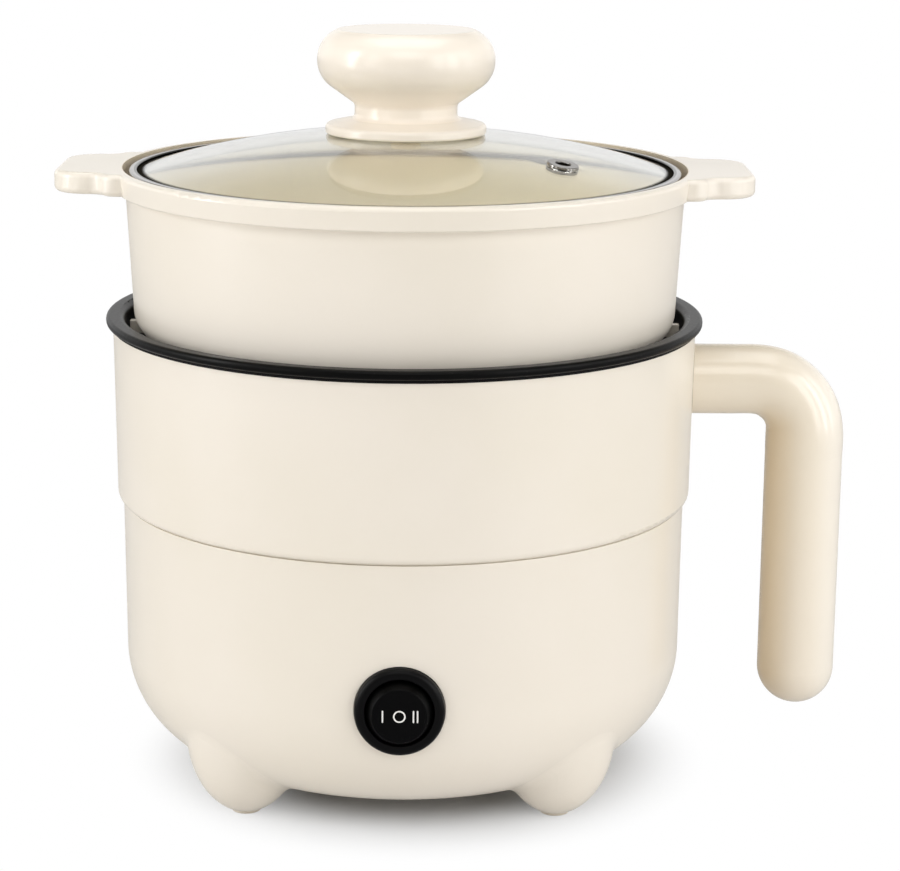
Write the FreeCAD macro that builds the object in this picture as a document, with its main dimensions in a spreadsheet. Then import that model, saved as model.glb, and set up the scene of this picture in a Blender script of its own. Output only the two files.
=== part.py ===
# Electric multi kettle: a round pot on four egg-shaped feet with a side handle, a round switch,
# a steamer that hangs in the pot's mouth and a lift-off glass lid.
# Millimetres. The origin is on the table under the body's axis, +Z up, the switch
# towards -Y, the handle towards +X and the power inlet towards +Y.
import FreeCAD
import Part
import Sketcher
import math
import os

doc = FreeCAD.newDocument("MultiKettle")
sheet = doc.addObject("Spreadsheet::Sheet", "Sizes")
nodes = {}
folder = "parts"
overcut = 1.0  # how far a cut runs past the face that it opens
near = 0.01  # what lies closer than this counts as the same place


class Size:
    # A length or an angle known both as a formula of the sheet's cells and as a number
    def __init__(self, text, value):
        self.text = text
        self.value = value

    def __add__(self, other):
        return Size(f"({self.text} + {formula(other)})", self.value + number(other))

    def __sub__(self, other):
        return Size(f"({self.text} - {formula(other)})", self.value - number(other))

    def __rsub__(self, other):
        return Size(f"({formula(other)} - {self.text})", number(other) - self.value)

    def __mul__(self, other):
        return Size(f"({self.text} * {formula(other)})", self.value * number(other))

    def __truediv__(self, other):
        return Size(f"({self.text} / {formula(other)})", self.value / number(other))

    def __neg__(self):
        return Size(f"(0 - {self.text})", -self.value)


def formula(size):
    return size.text if isinstance(size, Size) else repr(float(size))


def number(size):
    return size.value if isinstance(size, Size) else float(size)


def root(size):
    return Size(f"sqrt({size.text})", math.sqrt(size.value))


def sine(angle):
    return Size(f"sin({angle.text})", math.sin(math.radians(angle.value)))


def cosine(angle):
    return Size(f"cos({angle.text})", math.cos(math.radians(angle.value)))


def arcsine(ratio):
    degrees = math.degrees(math.asin(ratio.value))
    return Size(f"(asin({ratio.text}) / 1deg)", degrees)


def smaller(first, second):
    # A rounding that is limited by the room it has
    return Size(f"min({first.text}; {second.text})", min(first.value, second.value))


def leg(slanted, other):
    # The second short side of a right triangle
    return root(slanted * slanted - other * other)


def cell(name, value, note):
    row = len(cell.rows) + 1
    cell.rows.append(name)
    sheet.set(f"A{row}", note)
    sheet.set(f"B{row}", str(value))
    sheet.setAlias(f"B{row}", name)
    return Size(f"Sizes.{name}", float(value))


cell.rows = []

# Lower shell and feet
floorHeight = cell("floorHeight", 8.0, "underside of the body above the table")
seamStep = cell("seamStep", 1.6, "how far the lower shell lies inside the upper one at the seam")
lowerTaper = cell("lowerTaper", 0.6, "how much narrower the lower shell is above its rounding")
lowerRound = cell("lowerRound", 32.0, "rounding between the side and the underside")
shellWall = cell("shellWall", 2.4, "wall of the lower shell")
seamHeight = cell("seamHeight", 85.6, "lower edge of the upper shell")
seamGap = cell("seamGap", 0.35, "shadow line between the shells")
lapHeight = cell("lapHeight", 6.0, "lap of the lower shell inside the upper one")
lapWall = cell("lapWall", 1.5, "wall of the lap")
lapFit = cell("lapFit", 0.15, "gap between the lap and the upper shell")
footInset = cell("footInset", 38.2, "foot centre inside the shell's side, in X and in Y")
footRadius = cell("footRadius", 17.2, "widest part of an egg-shaped foot")
footTall = cell("footTall", 25.0, "height of a foot's widest part above the table")
footBlend = cell("footBlend", 6.5, "blend of a foot into the body")
padRadius = cell("padRadius", 4.2, "rubber pad under a foot")
padThickness = cell("padThickness", 1.8, "thickness of a pad")
padStand = cell("padStand", 0.6, "how far a pad stands out of its foot")
padFit = cell("padFit", 0.1, "gap round a pad")

# Upper shell
upperTopRadius = cell("upperTopRadius", 86.0, "upper shell, outer radius at its top")
upperTaper = cell("upperTaper", 0.6, "how much narrower the upper shell is at its lower edge")
upperLowWall = cell("upperLowWall", 2.4, "wall at the lower edge")
upperTopWall = cell("upperTopWall", 2.0, "wall at the top")
upperEdgeRound = cell("upperEdgeRound", 2.2, "rounding of the lower edge")

# Pot
rimTop = cell("rimTop", 140.0, "top of the pot's rim above the table")
rimThickness = cell("rimThickness", 2.6, "thickness of the rim")
rimOverhang = cell("rimOverhang", 2.0, "rim of the pot beyond the upper shell")
rimRound = cell("rimRound", 1.1, "rounding of the rim's outer edges")
neckGap = cell("neckGap", 0.3, "gap between the pot's neck and the upper shell")
mouthRound = cell("mouthRound", 2.0, "rounding of the mouth's edge")
mouthDepth = cell("mouthDepth", 7.5, "depth of the mouth down to the ledge")
neckWall = cell("neckWall", 1.3, "wall round the mouth")
ledgeStep = cell("ledgeStep", 5.4, "width of the ledge inside the mouth")
potDraft = cell("potDraft", 0.8, "how much narrower the pot is at its floor")
potWall = cell("potWall", 1.6, "wall of the pot")
potFloor = cell("potFloor", 63.0, "cooking surface above the table")
potFloorWall = cell("potFloorWall", 3.0, "thickness of the pot's floor")
potRound = cell("potRound", 10.0, "rounding between the pot's wall and floor")
sealThickness = cell("sealThickness", 1.0, "silicone seal under the rim")
sealOverhang = cell("sealOverhang", 0.3, "seal beyond the upper shell")

# Heater and underside
plateMargin = cell("plateMargin", 6.8, "heater plate beyond the heating tube")
plateThickness = cell("plateThickness", 6.0, "thickness of the heater plate")
tubeInset = cell("tubeInset", 3.0, "middle of the heating tube inside the shield's flat part")
tubeRadius = cell("tubeRadius", 3.2, "heating tube")
tubeSink = cell("tubeSink", 2.6, "how far the tube is sunk into the plate")
tubeSweep = cell("tubeSweep", 300.0, "degrees of the ring that the tube covers")
tubeFit = cell("tubeFit", 0.1, "gap between the tube and its groove")
tubePin = cell("tubePin", 1.6, "terminal pin at each end of the tube")
tubePinGap = cell("tubePinGap", 1.0, "end of such a pin over the heat shield")
bossRoom = cell("bossRoom", 0.5, "gap between the cover's bosses and the ledge over its edge")
legRadius = cell("legRadius", 5.5, "leg of the heater plate")
spigotRadius = cell("spigotRadius", 4.5, "lower end of a leg")
spigotLength = cell("spigotLength", 10.0, "length of a leg's lower end")
shieldDrop = cell("shieldDrop", 9.8, "underside of the heat shield under the heater plate")
shieldThickness = cell("shieldThickness", 0.8, "sheet of the heat shield")
shieldGap = cell("shieldGap", 2.15, "gap between the shield's rim and the inlet's pins")
shieldRim = cell("shieldRim", 7.0, "height of the shield's rim")
shieldFlare = cell("shieldFlare", 3.5, "flare of the shield's rim")
shieldRound = cell("shieldRound", 1.6, "inner rounding between the shield and its rim")
thermostatRadius = cell("thermostatRadius", 8.5, "thermostat disc")
thermostatCap = cell("thermostatCap", 6.8, "narrower lower half of the thermostat")
thermostatHeight = cell("thermostatHeight", 7.5, "thermostat under the plate")
thermostatFit = cell("thermostatFit", 1.6, "gap between the thermostat and the shield")
fuseRadius = cell("fuseRadius", 2.0, "thermal fuse")
fuseLength = cell("fuseLength", 11.0, "length of the fuse's case")
fuseWire = cell("fuseWire", 0.65, "lead wire of the fuse")
fuseWireLength = cell("fuseWireLength", 4.0, "length of a lead wire")
fuseOffset = cell("fuseOffset", 19.0, "thermal fuse from the axis")
coverRadius = cell("coverRadius", 42.0, "round cover in the underside")
coverThickness = cell("coverThickness", 2.4, "thickness of the cover")
coverFit = cell("coverFit", 0.2, "gap round the cover")
ledgeWidth = cell("ledgeWidth", 3.0, "ledge over the cover's edge")
ledgeThickness = cell("ledgeThickness", 2.0, "thickness of that ledge")
bossRadius = cell("bossRadius", 6.5, "boss of the cover")
bossFit = cell("bossFit", 0.15, "gap round a leg in its boss")
tieScrew = cell("tieScrew", 1.95, "tie screw, radius of the shank")
tieHead = cell("tieHead", 3.8, "tie screw, radius of the head")
tieHeadHeight = cell("tieHeadHeight", 2.8, "height of a tie screw's head")
tieSink = cell("tieSink", 6.0, "depth of a tie screw's counterbore")
screwFit = cell("screwFit", 0.05, "gap between a screw and its thread")
headFit = cell("headFit", 0.4, "gap round a screw's head")
tieGrip = cell("tieGrip", 12.0, "length of a tie screw in its leg")

# Switch
switchRoom = cell("switchRoom", 3.5, "bezel of the switch under the pot")
bezelWidth = cell("bezelWidth", 1.97, "bezel of the switch beyond the barrel")
bezelHeight = cell("bezelHeight", 3.5, "height of the bezel over its seat")
barrelWall = cell("barrelWall", 1.043, "wall of the barrel behind the bezel")
barrelDepth = cell("barrelDepth", 14.0, "length of the barrel behind the seat")
barrelFloor = cell("barrelFloor", 3.0, "back wall of the barrel")
barrelRound = cell("barrelRound", 1.0, "rounding of the barrel's back edge")
bezelRound = cell("bezelRound", 1.75, "rounding of the bezel's outer edge")
bezelShare = 0.85  # most of the bezel's width that its rounding may take
bezelLip = cell("bezelLip", 0.3, "rounding of the bezel's inner edge")
barrelFit = cell("barrelFit", 0.2, "gap round the barrel and the bezel")
rockerFace = cell("rockerFace", 7.6, "radius of the rocker's face")
rockerRise = cell("rockerRise", 5.5, "rocker's face over its pivot")
rockerDrop = cell("rockerDrop", 3.0, "rocker under its pivot")
rockerRound = cell("rockerRound", 0.5, "rounding of the rocker's face")
rockerFit = cell("rockerFit", 0.2, "gap between the rocker and its bore")
pivotRise = cell("pivotRise", 0.6, "pivot over the bezel's seat")
trunnionRadius = cell("trunnionRadius", 1.0, "pivot pin of the rocker")
trunnionReach = cell("trunnionReach", 0.7, "length of a pin in its bearing")
trunnionFit = cell("trunnionFit", 0.06, "gap round a pivot pin")
tabWidth = cell("tabWidth", 4.8, "width of a switch terminal")
tabThickness = cell("tabThickness", 0.8, "thickness of a terminal")
tabLength = cell("tabLength", 7.5, "length of a terminal behind its housing")
tabRoot = cell("tabRoot", 2.0, "length of a terminal in its housing")
tabPitch = cell("tabPitch", 5.6, "distance between the switch terminals")
tabFit = cell("tabFit", 0.03, "gap round a terminal or pin in its slot")

# Power inlet
inletRoom = cell("inletRoom", 3.9, "case of the power inlet under the pot")
inletFlangeWidth = cell("inletFlangeWidth", 32.0, "flange of the inlet")
inletFlangeHeight = cell("inletFlangeHeight", 24.0, "height of the flange")
inletFlange = cell("inletFlange", 2.0, "thickness of the flange")
inletWidth = cell("inletWidth", 24.4, "socket, inner width")
inletTall = cell("inletTall", 17.4, "socket, inner height")
inletWall = cell("inletWall", 1.4, "wall of the socket")
inletDepth = cell("inletDepth", 16.5, "depth of the socket behind its seat")
inletBack = cell("inletBack", 3.0, "back wall of the socket")
inletFit = cell("inletFit", 0.2, "gap between the socket and its cut-out")
inletRound = cell("inletRound", 2.5, "corners of the socket and the flange")
pinWidth = cell("pinWidth", 2.0, "width of an inlet pin")
pinTall = cell("pinTall", 4.0, "height of an inlet pin")
pinLength = cell("pinLength", 13.0, "pin over the socket's floor")
pinPitch = cell("pinPitch", 14.0, "distance between live and neutral")
pinOffset = cell("pinOffset", 4.0, "earth pin off the line of the other two")

# Handle
handleDrop = cell("handleDrop", 3.3, "bracket of the handle under the pot's mouth")
fingerSpace = cell("fingerSpace", 22.55, "room for fingers between the body and the grip")
armRadius = cell("armRadius", 10.4, "handle's arm")
gripRadius = cell("gripRadius", 11.55, "handle's grip")
handleBend = cell("handleBend", 16.0, "bend between the arm and the grip")
handleEnd = cell("handleEnd", 19.3, "lower end of the grip above the table")
handleWall = cell("handleWall", 2.6, "wall of the handle")
handleHollow = cell("handleHollow", 0.8, "hollow part of the arm before the bend")
bendSteps = 4  # sections that the bend is divided into
handleSeat = cell("handleSeat", 0.05, "gap between the arm and the body")
postRadius = cell("postRadius", 3.8, "screw post inside the handle")
handleScrew = cell("handleScrew", 1.45, "screw that joins the handle's halves")
handleScrewHead = cell("handleScrewHead", 2.7, "head of that screw")
handleScrewSink = cell("handleScrewSink", 4.0, "depth of its counterbore")
handleScrewHeadHeight = cell("handleScrewHeadHeight", 1.8, "height of its head")
handleScrewGrip = cell("handleScrewGrip", 6.0, "its length in the front half")
postDrop = cell("postDrop", 11.4, "upper screw of the grip under the bend")
postRise = cell("postRise", 17.8, "lower screw of the grip above its end")
bracketWidth = cell("bracketWidth", 17.0, "steel bracket behind the handle")
bracketTall = cell("bracketTall", 15.0, "height of the bracket")
bracketThickness = cell("bracketThickness", 1.5, "thickness of the bracket")
bracketPitch = cell("bracketPitch", 10.4, "distance between the bracket's screws")
bracketScrew = cell("bracketScrew", 1.75, "screw of the bracket")
bracketHead = cell("bracketHead", 2.9, "head of that screw")
bracketHeadHeight = cell("bracketHeadHeight", 1.6, "height of its head")
bracketGrip = cell("bracketGrip", 8.0, "its length in the handle")

# Steamer
steamerRise = cell("steamerRise", 0.3, "underside of the steamer above the pot's ledge")
steamerGap = cell("steamerGap", 0.7, "gap between the steamer and the pot's mouth")
steamerTaper = cell("steamerTaper", 2.3, "how much narrower the steamer is at its underside")
steamerWall = cell("steamerWall", 2.2, "wall of the steamer")
steamerRound = cell("steamerRound", 9.0, "rounding between wall and underside")
steamerStand = cell("steamerStand", 36.6, "underside of the steamer's rim above the pot's rim")
lipHeight = cell("lipHeight", 6.6, "height of the steamer's rim")
lipStand = cell("lipStand", 2.6, "rim beyond the steamer's wall at its underside")
lipTaper = cell("lipTaper", 0.8, "how much wider the rim is at its top")
lipRound = cell("lipRound", 1.2, "rounding of the rim's top")
lipUnderRound = cell("lipUnderRound", 0.5, "rounding of the rim's underside")
lipHollow = cell("lipHollow", 0.6, "hollow between the rim and the wall")
recessWall = cell("recessWall", 2.6, "wall round the recess for the lid")
recessSeat = cell("recessSeat", 1.2, "seat of the lid above the rim's underside")
earReach = cell("earReach", 16.1, "tip of a steamer's ear beyond the rim")
earRoot = cell("earRoot", 27.0, "half width of an ear at its root")
earHalf = cell("earHalf", 22.0, "half width of an ear at its tip")
earRound = cell("earRound", 10.2, "corners of an ear's tip")
earSweep = cell("earSweep", 4.2, "hollow between an ear and the rim")
earNeck = cell("earNeck", 2.4, "start of an ear's straight sides beyond the rim")
earRoundShare = 0.78  # most of an ear's straight side that its tip's corner may take
earSweepShare = 0.31  # widest hollow, as a share of that side
earThickness = cell("earThickness", 6.3, "thickness of an ear")
lugWidth = cell("lugWidth", 3.0, "rib that stands on the pot's ledge")
lugFit = cell("lugFit", 1.0, "gap between such a rib and the mouth")
lugInset = cell("lugInset", 5.0, "start of such a rib inside the ledge")
lugGap = cell("lugGap", 0.3, "gap between the ribs and the ledge")
lugDrop = cell("lugDrop", 3.5, "top of such a rib under the pot's rim")
steamHole = cell("steamHole", 2.6, "radius of a steam hole")
holePitch = cell("holePitch", 15.0, "distance between the circles of steam holes")
holeCircles = 4
holesPerCircle = 6  # in the first circle, and as many more in each next one

# Lid
domeRise = cell("domeRise", 10.8, "top of the glass above the steel rim")
glassInset = cell("glassInset", 1.33, "edge of the glass under the top of the steel rim")
lidRimWall = cell("lidRimWall", 1.0, "steel rim beyond the glass")
glassThickness = cell("glassThickness", 3.0, "thickness of the glass")
lidGap = cell("lidGap", 0.3, "gap between the lid's rim and its seat")
lidSideGap = cell("lidSideGap", 1.7, "gap between the steel rim and the recess")
lidRimHeight = cell("lidRimHeight", 4.6, "height of the steel rim")
lidRimLap = cell("lidRimLap", 1.5, "steel rim over the glass")
lidRimRound = cell("lidRimRound", 0.7, "rounding of the steel rim's lower edge")
lidRimTopRound = cell("lidRimTopRound", 1.0, "rounding of its upper edge")
knobSink = cell("knobSink", 0.7, "underside of the knob's flange under the top of the glass")
knobFlangeRadius = cell("knobFlangeRadius", 23.5, "flange of the knob")
knobFlangeEdge = cell("knobFlangeEdge", 2.7, "edge of that flange")
knobFlangeRise = cell("knobFlangeRise", 1.8, "rise of the flange towards the neck")
knobFlangeRound = cell("knobFlangeRound", 1.2, "rounding of the flange's upper edge")
knobFlangeUnder = cell("knobFlangeUnder", 0.7, "rounding of the flange's lower edge")
knobNeckRound = cell("knobNeckRound", 1.8, "hollows at both ends of the neck")
knobNeck = cell("knobNeck", 15.0, "neck of the knob")
knobNeckHeight = cell("knobNeckHeight", 8.6, "height of flange and neck")
knobRadius = cell("knobRadius", 25.9, "widest part of the knob")
knobSwell = cell("knobSwell", 7.8, "height from the neck to the widest part")
knobCrown = cell("knobCrown", 13.6, "height of the widest part up to the top")
knobRound = cell("knobRound", 9.0, "rounding of the knob's top")
knobShare = 0.68  # most of the crown's height that a rounding may take
knobFlat = cell("knobFlat", 20.0, "flat top of the knob")
knobBevel = cell("knobBevel", 3.2, "slope of the knob's top down from that flat part")
knobCrease = cell("knobCrease", 1.0, "rounding round the flat part")
knobUnderRound = cell("knobUnderRound", 9.0, "rounding of the knob's lower shoulder")
knobLip = cell("knobLip", 2.4, "edge of the flange round the gasket")
gasketThickness = cell("gasketThickness", 0.8, "gasket over the glass at its middle")
stemFit = cell("stemFit", 0.2, "gap between the knob's stem and its hole in the glass")
knobStem = cell("knobStem", 4.0, "stem of the knob in that hole")
washerRadius = cell("washerRadius", 8.0, "washer under the glass")
washerThickness = cell("washerThickness", 1.2, "thickness of that washer")
washerGap = cell("washerGap", 0.15, "washer under the middle of the glass")
knobScrew = cell("knobScrew", 2.0, "screw of the knob")
knobScrewHead = cell("knobScrewHead", 4.4, "head of that screw")
knobScrewHeadHeight = cell("knobScrewHeadHeight", 2.2, "height of its head")
knobScrewGrip = cell("knobScrewGrip", 12.0, "its length over the washer")
ventOffset = cell("ventOffset", 55.2, "vent from the lid's axis")
ventTurn = cell("ventTurn", -36.5, "direction of the vent, from +X")
ventBore = cell("ventBore", 2.2, "bore of the vent's eyelet")
ventTube = cell("ventTube", 3.2, "tube of the eyelet")
ventFlange = cell("ventFlange", 4.6, "flanges of the eyelet")
ventSheet = cell("ventSheet", 0.7, "thickness of its flanges")
ventRound = cell("ventRound", 0.28, "rounding of its flanges")
ventFit = cell("ventFit", 0.1, "gap between the eyelet and the glass")

# Body, pot and feet, worked out from the sizes above
upperLowRadius = upperTopRadius - upperTaper
lowerTopRadius = upperLowRadius - seamStep
lowerRadius = lowerTopRadius - lowerTaper
footSpread = lowerRadius - footInset
rimRadius = upperTopRadius + rimOverhang
mouthRadius = upperTopRadius - upperTopWall - neckGap - neckWall
potRadius = mouthRadius - ledgeStep
ledgeHeight = rimTop - mouthDepth
rimUnderside = rimTop - rimThickness
upperTop = rimUnderside - sealThickness
potUnderside = potFloor - potFloorWall
coverTop = floorHeight + coverThickness

# Switch and power inlet
rockerBall = root(rockerFace * rockerFace + rockerRise * rockerRise)
rockerBore = rockerBall + rockerFit
barrelRadius = rockerBore + barrelWall
bezelRadius = barrelRadius + bezelWidth
switchHeight = potUnderside - bezelRadius - switchRoom
switchSeat = leg(lowerRadius, bezelRadius)
inletHeight = potUnderside - inletTall / 2 - inletWall - inletRoom
inletSeat = leg(lowerRadius, inletFlangeWidth / 2)

# Heater and its screws
plateUnderside = potUnderside - plateThickness
shieldHeight = plateUnderside - shieldDrop
shieldTop = shieldHeight + shieldThickness
shieldRadius = inletSeat - inletDepth - inletBack - tabLength - shieldFlare - shieldGap
tubeCircle = shieldRadius - tubeInset
plateRadius = tubeCircle + tubeRadius + plateMargin
tieCircle = coverRadius - ledgeWidth - bossRadius - bossRoom
spigotEnd = shieldTop - spigotLength
tieSeat = floorHeight + tieSink

# Handle
handleHeight = ledgeHeight - potWall - bracketTall / 2 - handleDrop
handleReach = upperTopRadius + fingerSpace + gripRadius
bendLead = handleBend * (math.pi / 2 / bendSteps)
armEnd = handleReach - handleBend - bendLead
upperPost = handleHeight - handleBend - postDrop
lowerPost = handleEnd + postRise

# Steamer
steamerBottom = ledgeHeight + steamerRise
steamerTopRadius = mouthRadius - steamerGap
steamerLowRadius = steamerTopRadius - steamerTaper
lipBottom = rimTop + steamerStand
lipTop = lipBottom + lipHeight
lipLowRadius = steamerTopRadius + lipStand
lipRadius = lipLowRadius + lipTaper
recessRadius = lipRadius - recessWall
recessFloor = lipBottom + recessSeat
earTip = lipRadius + earReach
earWaist = lipRadius + earNeck
earSide = earTip - earWaist
lugRadius = mouthRadius - lugFit
lugStart = potRadius - lugInset
lugTop = rimTop - lugDrop

# Lid
lidRimRadius = recessRadius - lidSideGap
lidRimTop = recessFloor + lidGap + lidRimHeight
glassRadius = lidRimRadius - lidRimWall
domeTop = lidRimTop + domeRise
domeDrop = domeRise + glassInset
domeRadius = (glassRadius * glassRadius + domeDrop * domeDrop) / (domeDrop * 2)
domeCentre = domeTop - domeRadius
knobBase = domeTop - knobSink
knobNeckTop = knobBase + knobNeckHeight
knobShoulder = knobNeckTop + knobSwell
knobTop = knobShoulder + knobCrown
knobHole = knobStem + stemFit
ventTilt = arcsine(ventOffset / domeRadius)
doc.recompute()


def bind(thing, name, size):
    if isinstance(size, Size):
        thing.setExpression(name, size.text)
    else:
        setattr(thing, name, size)


def place(thing, at, axis=(0, 0, 1), angle=0.0):
    # Rotation about the axis first, then the move to the point
    turned = FreeCAD.Rotation(FreeCAD.Vector(*axis), number(angle))
    thing.Placement = FreeCAD.Placement(FreeCAD.Vector(*map(number, at)), turned)
    for letter, size in zip("xyz", at):
        if isinstance(size, Size):
            thing.setExpression(f"Placement.Base.{letter}", size.text)


def keep(thing, name):
    # A finished piece, kept under its own name
    thing.Label = name
    nodes[name] = thing
    return thing


def plane_of(body, role):
    return next(plane for plane in body.Origin.OriginFeatures if plane.Role == role)


def new_sketch(body, name, role, offset):
    made = body.newObject("Sketcher::SketchObject", name)
    made.AttachmentSupport = [(plane_of(body, role), "")]
    made.MapMode = "FlatFace"
    if isinstance(offset, Size):
        made.setExpression("AttachmentOffset.Base.z", offset.text)
    return made


def dimension(made, axis, geometry, end, size):
    # Distance of a point from the sketch's origin along one axis, always written as positive
    value = number(size)
    if value == 0:
        made.addConstraint(Sketcher.Constraint("PointOnObject", geometry, end, -2 if axis == "X" else -1))
        return
    ends = (-1, 1, geometry, end) if value > 0 else (geometry, end, -1, 1)
    index = made.addConstraint(Sketcher.Constraint("Distance" + axis, *ends, abs(value)))
    if isinstance(size, Size):
        text = size.text if value > 0 else (-size).text
        made.setExpression(f"Constraints[{index}]", text)


def outline(body, name, role, corners, offset=0):
    # A closed outline of straight lines between corners (u, v) or, where rounded, (u, v, radius)
    made = new_sketch(body, name, role, offset)
    points = [FreeCAD.Vector(number(corner[0]), number(corner[1]), 0) for corner in corners]
    count = len(corners)
    arrive = []
    leave = []
    arcs = []
    for i, corner in enumerate(corners):
        here = points[i]
        if len(corner) == 2:
            arrive.append(here)
            leave.append(here)
            arcs.append(None)
            continue
        radius = number(corner[2])
        back = (points[i - 1] - here).normalize()
        ahead = (points[(i + 1) % count] - here).normalize()
        half = back.getAngle(ahead) / 2
        reach = radius / math.tan(half)
        centre = here + (back + ahead).normalize() * (radius / math.sin(half))
        start = here + back * reach
        end = here + ahead * reach
        arrive.append(start)
        leave.append(end)
        left_turn = (ahead.cross(back)).z > 0
        first, last = (start, end) if left_turn else (end, start)
        angles = [math.atan2(p.y - centre.y, p.x - centre.x) for p in (first, last)]
        if angles[1] < angles[0]:
            angles[1] += 2 * math.pi
        arcs.append((centre, radius, angles, left_turn))
    lines = [
        made.addGeometry(Part.LineSegment(leave[i], arrive[(i + 1) % count])) for i in range(count)
    ]
    for i, corner in enumerate(corners):
        before = lines[i - 1]
        after = lines[i]
        if arcs[i] is None:
            made.addConstraint(Sketcher.Constraint("Coincident", before, 2, after, 1))
            dimension(made, "X", after, 1, corner[0])
            dimension(made, "Y", after, 1, corner[1])
            continue
        centre, radius, angles, left_turn = arcs[i]
        circle = Part.Circle(centre, FreeCAD.Vector(0, 0, 1), radius)
        arc = made.addGeometry(Part.ArcOfCircle(circle, *angles))
        start, end = (1, 2) if left_turn else (2, 1)
        made.addConstraint(Sketcher.Constraint("Tangent", before, 2, arc, start))
        made.addConstraint(Sketcher.Constraint("Tangent", arc, end, after, 1))
        index = made.addConstraint(Sketcher.Constraint("Radius", arc, radius))
        made.setExpression(f"Constraints[{index}]", formula(corner[2]))
        tip = made.addGeometry(Part.Point(points[i]), True)
        made.addConstraint(Sketcher.Constraint("PointOnObject", tip, 1, before))
        made.addConstraint(Sketcher.Constraint("PointOnObject", tip, 1, after))
        dimension(made, "X", tip, 1, corner[0])
        dimension(made, "Y", tip, 1, corner[1])
    return made


def new_body(name):
    return keep(doc.addObject("PartDesign::Body", name), name)


def turned(body, name, corners, cutting=False):
    # A solid of revolution about Z, or a cut of that form, from an outline in (radius, height)
    profile = outline(body, name + "_outline", "XZ_Plane", corners)
    made = body.newObject("PartDesign::Groove" if cutting else "PartDesign::Revolution", name)
    made.Profile = profile
    made.ReferenceAxis = (profile, ["V_Axis"])
    made.Angle = 360.0
    return made


def padded(body, name, profile, length):
    made = body.newObject("PartDesign::Pad", name)
    made.Profile = profile
    bind(made, "Length", length)
    return made


def form(body, kind, name, at=(0, 0, 0), axis=(0, 0, 1), angle=0.0, **sizes):
    # A ball, cylinder, cone, box or ring that is added to or cut from a body
    made = body.newObject("PartDesign::" + kind, name)
    for size_name, size in sizes.items():
        bind(made, size_name, size)
    place(made, at, axis, angle)
    return made


def repeated(body, name, features, count):
    # The same features again round the Z axis
    made = body.newObject("PartDesign::PolarPattern", name)
    made.Originals = features
    made.Axis = (plane_of(body, "Z_Axis"), [""])
    made.Angle = 360.0
    made.Occurrences = count
    body.Tip = made
    return made


def filleted(body, name, base, radius, chosen):
    # Rounds the edges of the base feature for which the test holds
    doc.recompute()
    names = [f"Edge{i + 1}" for i, edge in enumerate(base.Shape.Edges) if chosen(edge)]
    made = body.newObject("PartDesign::Fillet", name)
    made.Base = (base, names)
    bind(made, "Radius", radius)
    return made


def solid(kind, name, at=(0, 0, 0), axis=(0, 0, 1), angle=0.0, **sizes):
    made = doc.addObject("Part::" + kind, name)
    for size_name, size in sizes.items():
        bind(made, size_name, size)
    place(made, at, axis, angle)
    return made


def fused(name, pieces):
    made = doc.addObject("Part::MultiFuse", name)
    made.Shapes = pieces
    return made


def cut(name, base, tool):
    made = doc.addObject("Part::Cut", name)
    made.Base = base
    made.Tool = tool
    return made


def shared(name, base, tool):
    made = doc.addObject("Part::MultiCommon", name)
    made.Shapes = [base, tool]
    return made


def screw(name, at, axis, angle, shank, length, head, head_height):
    # The shank runs along the local +Z from the head's seat, the head lies behind the seat
    body = new_body(name)
    rounding = head_height / 3
    slotDepth = head_height / 2.5
    slotWidth = head_height / 2.5
    turned(
        body,
        name + "_form",
        [
            (0, -head_height),
            (head, -head_height, rounding),
            (head, 0),
            (shank, 0),
            (shank, length),
            (0, length),
        ],
    )
    form(body, "SubtractiveBox", name + "_slot", (-head, -slotWidth / 2, -head_height),
         Length=head * 2, Width=slotWidth, Height=slotDepth)
    place(body, at, axis, angle)
    return body


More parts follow.
